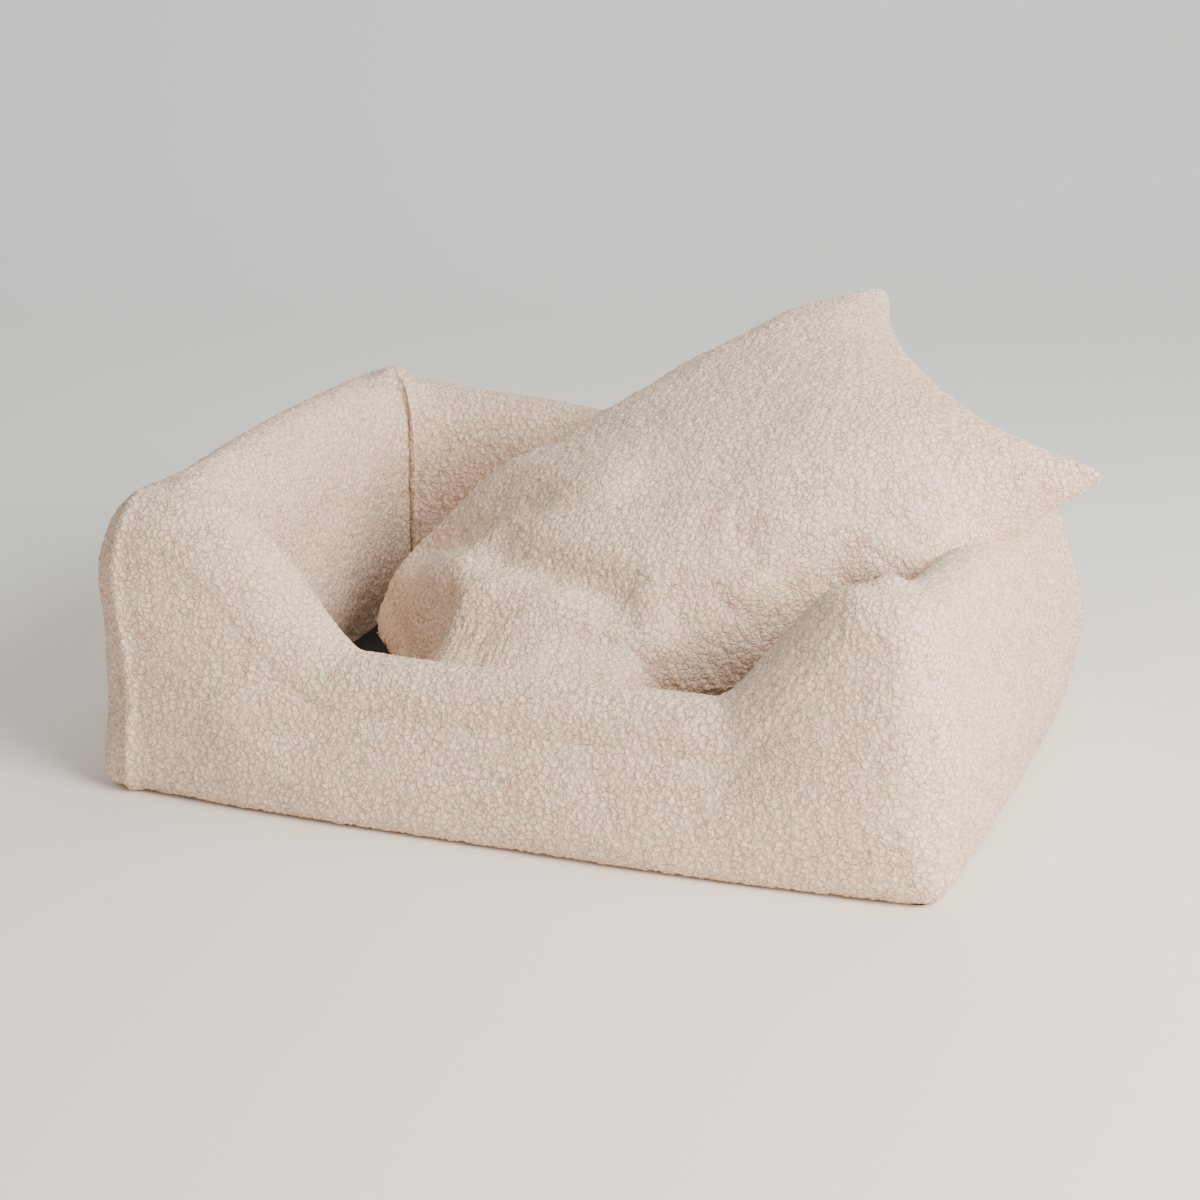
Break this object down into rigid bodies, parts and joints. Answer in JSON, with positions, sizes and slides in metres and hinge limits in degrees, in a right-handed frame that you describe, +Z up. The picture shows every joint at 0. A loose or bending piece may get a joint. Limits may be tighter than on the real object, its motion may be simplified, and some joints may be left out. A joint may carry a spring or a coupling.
{
  "type": "pet cushion bed",
  "caption": "Box pet bed in cream sherpa fleece with stuffed walls, a low front entrance and a loose cushion leaning in it.",
  "frame": {"origin": "middle of the bed's underside, on the floor", "axes": "+X along the front wall to the right as seen from the front, +Y to the back wall, +Z up"},
  "size_m": [0.8793, 0.6818, 0.4005],
  "materials": {
    "sherpa_fleece": "cream curly sherpa pile, matte",
    "foam": "open-cell foam, matte",
    "black_lining": "black woven lining, matte",
    "non_slip_fabric": "black woven fabric with small rubber dots",
    "casing_cotton": "plain white cotton, matte",
    "fibre_filling": "loose polyester fibre",
    "zip_tape": "cream woven zip tape",
    "zip_coil": "cream nylon coil",
    "zip_metal": "nickel-plated, satin"
  },
  "bodies": {
    "root": {"front_wall_cover": "sherpa_fleece", "right_wall_cover": "sherpa_fleece", "back_wall_cover": "sherpa_fleece", "left_wall_cover": "sherpa_fleece", "front_wall_foam": "foam", "right_wall_foam": "foam", "back_wall_foam": "foam", "left_wall_foam": "foam", "base_underside": "non_slip_fabric", "base_pad": "foam", "base_lining": "black_lining", "bed_zip_tape_upper": "zip_tape", "bed_zip_tape_lower": "zip_tape", "bed_zip_coil_upper": "zip_coil", "bed_zip_coil_lower": "zip_coil", "bed_zip_top_stop_upper": "zip_metal", "bed_zip_top_stop_lower": "zip_metal", "bed_zip_bottom_stop": "zip_metal"},
    "cushion": {"cushion_cover_top": "sherpa_fleece", "cushion_cover_bottom": "sherpa_fleece", "insert_casing_top": "casing_cotton", "insert_casing_bottom": "casing_cotton", "insert_filling": "fibre_filling", "cushion_zip_tape_upper": "zip_tape", "cushion_zip_tape_lower": "zip_tape", "cushion_zip_coil_upper": "zip_coil", "cushion_zip_coil_lower": "zip_coil", "cushion_zip_top_stop_upper": "zip_metal", "cushion_zip_top_stop_lower": "zip_metal", "cushion_zip_bottom_stop": "zip_metal"},
    "bed_zip_slider": {"bed_zip_slider": "zip_metal"},
    "bed_zip_pull": {"bed_zip_pull": "zip_metal"},
    "cushion_zip_slider": {"cushion_zip_slider": "zip_metal"},
    "cushion_zip_pull": {"cushion_zip_pull": "zip_metal"}
  },
  "joints": [
    {"name": "cushion_lift", "type": "slide", "parent": "root", "child": "cushion", "axis": [0, 0, 1], "range_m": [0, 0.35]},
    {"name": "bed_zip_slide", "type": "slide", "parent": "root", "child": "bed_zip_slider", "axis": [-1, 0, 0], "range_m": [0, 0.46]},
    {"name": "bed_zip_pull_swing", "type": "hinge", "parent": "bed_zip_slider", "child": "bed_zip_pull", "pos_m": [0.2302, 0.2859, 0.033], "axis": [0, 0, -1], "range_deg": [0, 175]},
    {"name": "cushion_zip_slide", "type": "slide", "parent": "cushion", "child": "cushion_zip_slider", "axis": [0.6269, -0.7751, -0.0786], "range_m": [0, 0.2]},
    {"name": "cushion_zip_pull_swing", "type": "hinge", "parent": "cushion_zip_slider", "child": "cushion_zip_pull", "pos_m": [-0.25631, 0.00144, 0.07595], "axis": [0.2925, 0.3276, -0.8984], "range_deg": [0, 175]}
  ]
}
